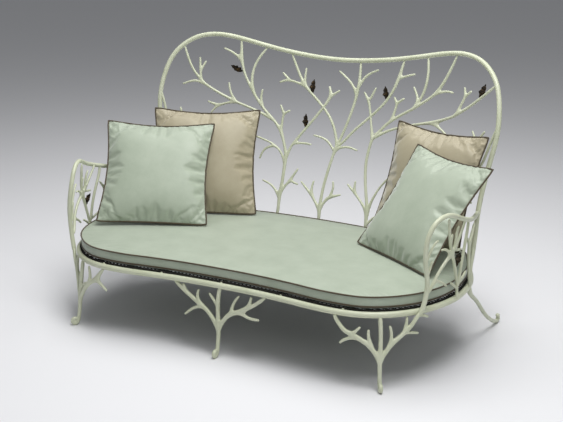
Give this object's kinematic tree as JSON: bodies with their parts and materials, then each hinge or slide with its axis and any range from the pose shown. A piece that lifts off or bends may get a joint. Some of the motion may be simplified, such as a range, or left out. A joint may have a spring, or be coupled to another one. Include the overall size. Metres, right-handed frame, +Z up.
{
  "type": "twig sofa",
  "caption": "Painted iron sofa with a hooped back and open arms filled with forked twig rods, scroll feet, a kidney-shaped seat cushion and loose pillows.",
  "frame": {"origin": "middle of the bounding box's base, on the floor", "axes": "+X to the viewer's right along the seat, -Y out of the front, +Z up"},
  "size_m": [2.2008, 1.347, 1.3769],
  "materials": {
    "cream_paint": "satin",
    "deck_black": "satin",
    "leaf_bronze": "dark patina",
    "sage_cloth": "silky weave",
    "tan_cloth": "silky weave",
    "brown_piping": "cord"
  },
  "bodies": {
    "frame": {"seat_ring": "cream_paint", "back_hoop": "cream_paint", "tree_outer_left": "cream_paint", "tree_left": "cream_paint", "tree_centre": "cream_paint", "tree_right": "cream_paint", "tree_outer_right": "cream_paint", "arm_hoop_left": "cream_paint", "arm_hoop_right": "cream_paint", "arm_twigs_left": "cream_paint", "arm_twigs_right": "cream_paint", "arm_twigs_rear_left": "cream_paint", "arm_twigs_rear_right": "cream_paint", "leg_front_left": "cream_paint", "leg_front_centre": "cream_paint", "leg_front_right": "cream_paint", "leg_rear_left": "cream_paint", "leg_rear_right": "cream_paint", "leaf_1": "leaf_bronze", "leaf_2": "leaf_bronze", "leaf_3": "leaf_bronze", "leaf_4": "leaf_bronze", "leaf_5": "leaf_bronze", "leaf_arm_left": "leaf_bronze", "leaf_arm_right": "leaf_bronze", "deck_rod_loop": "deck_black", "deck_mesh": "deck_black", "cross_bar_1": "cream_paint", "cross_bar_2": "cream_paint", "cross_bar_3": "cream_paint", "cross_bar_4": "cream_paint", "cross_bar_5": "cream_paint"},
    "seat_cushion": {"seat_cushion": "sage_cloth", "seat_piping_top": "brown_piping", "seat_piping_bottom": "brown_piping"},
    "pillow_tan_left": {"pillow_tan_left": "tan_cloth", "piping_tan_left": "brown_piping"},
    "pillow_green_left": {"pillow_green_left": "sage_cloth", "piping_green_left": "brown_piping"},
    "pillow_tan_right": {"pillow_tan_right": "tan_cloth", "piping_tan_right": "brown_piping"},
    "pillow_green_right": {"pillow_green_right": "sage_cloth", "piping_green_right": "brown_piping"}
  },
  "joints": [
    {"name": "seat_cushion_lift", "type": "slide", "parent": "frame", "child": "seat_cushion", "axis": [0, 0, 1], "range_m": [0, 0.8]},
    {"name": "tan_left_lift", "type": "slide", "parent": "seat_cushion", "child": "pillow_tan_left", "axis": [0, 0, 1], "range_m": [0, 0.8]},
    {"name": "green_left_lift", "type": "slide", "parent": "pillow_tan_left", "child": "pillow_green_left", "axis": [0, 0, 1], "range_m": [0, 0.8]},
    {"name": "tan_right_lift", "type": "slide", "parent": "seat_cushion", "child": "pillow_tan_right", "axis": [0, 0, 1], "range_m": [0, 0.8]},
    {"name": "green_right_lift", "type": "slide", "parent": "pillow_tan_right", "child": "pillow_green_right", "axis": [0, 0, 1], "range_m": [0, 0.8]}
  ]
}
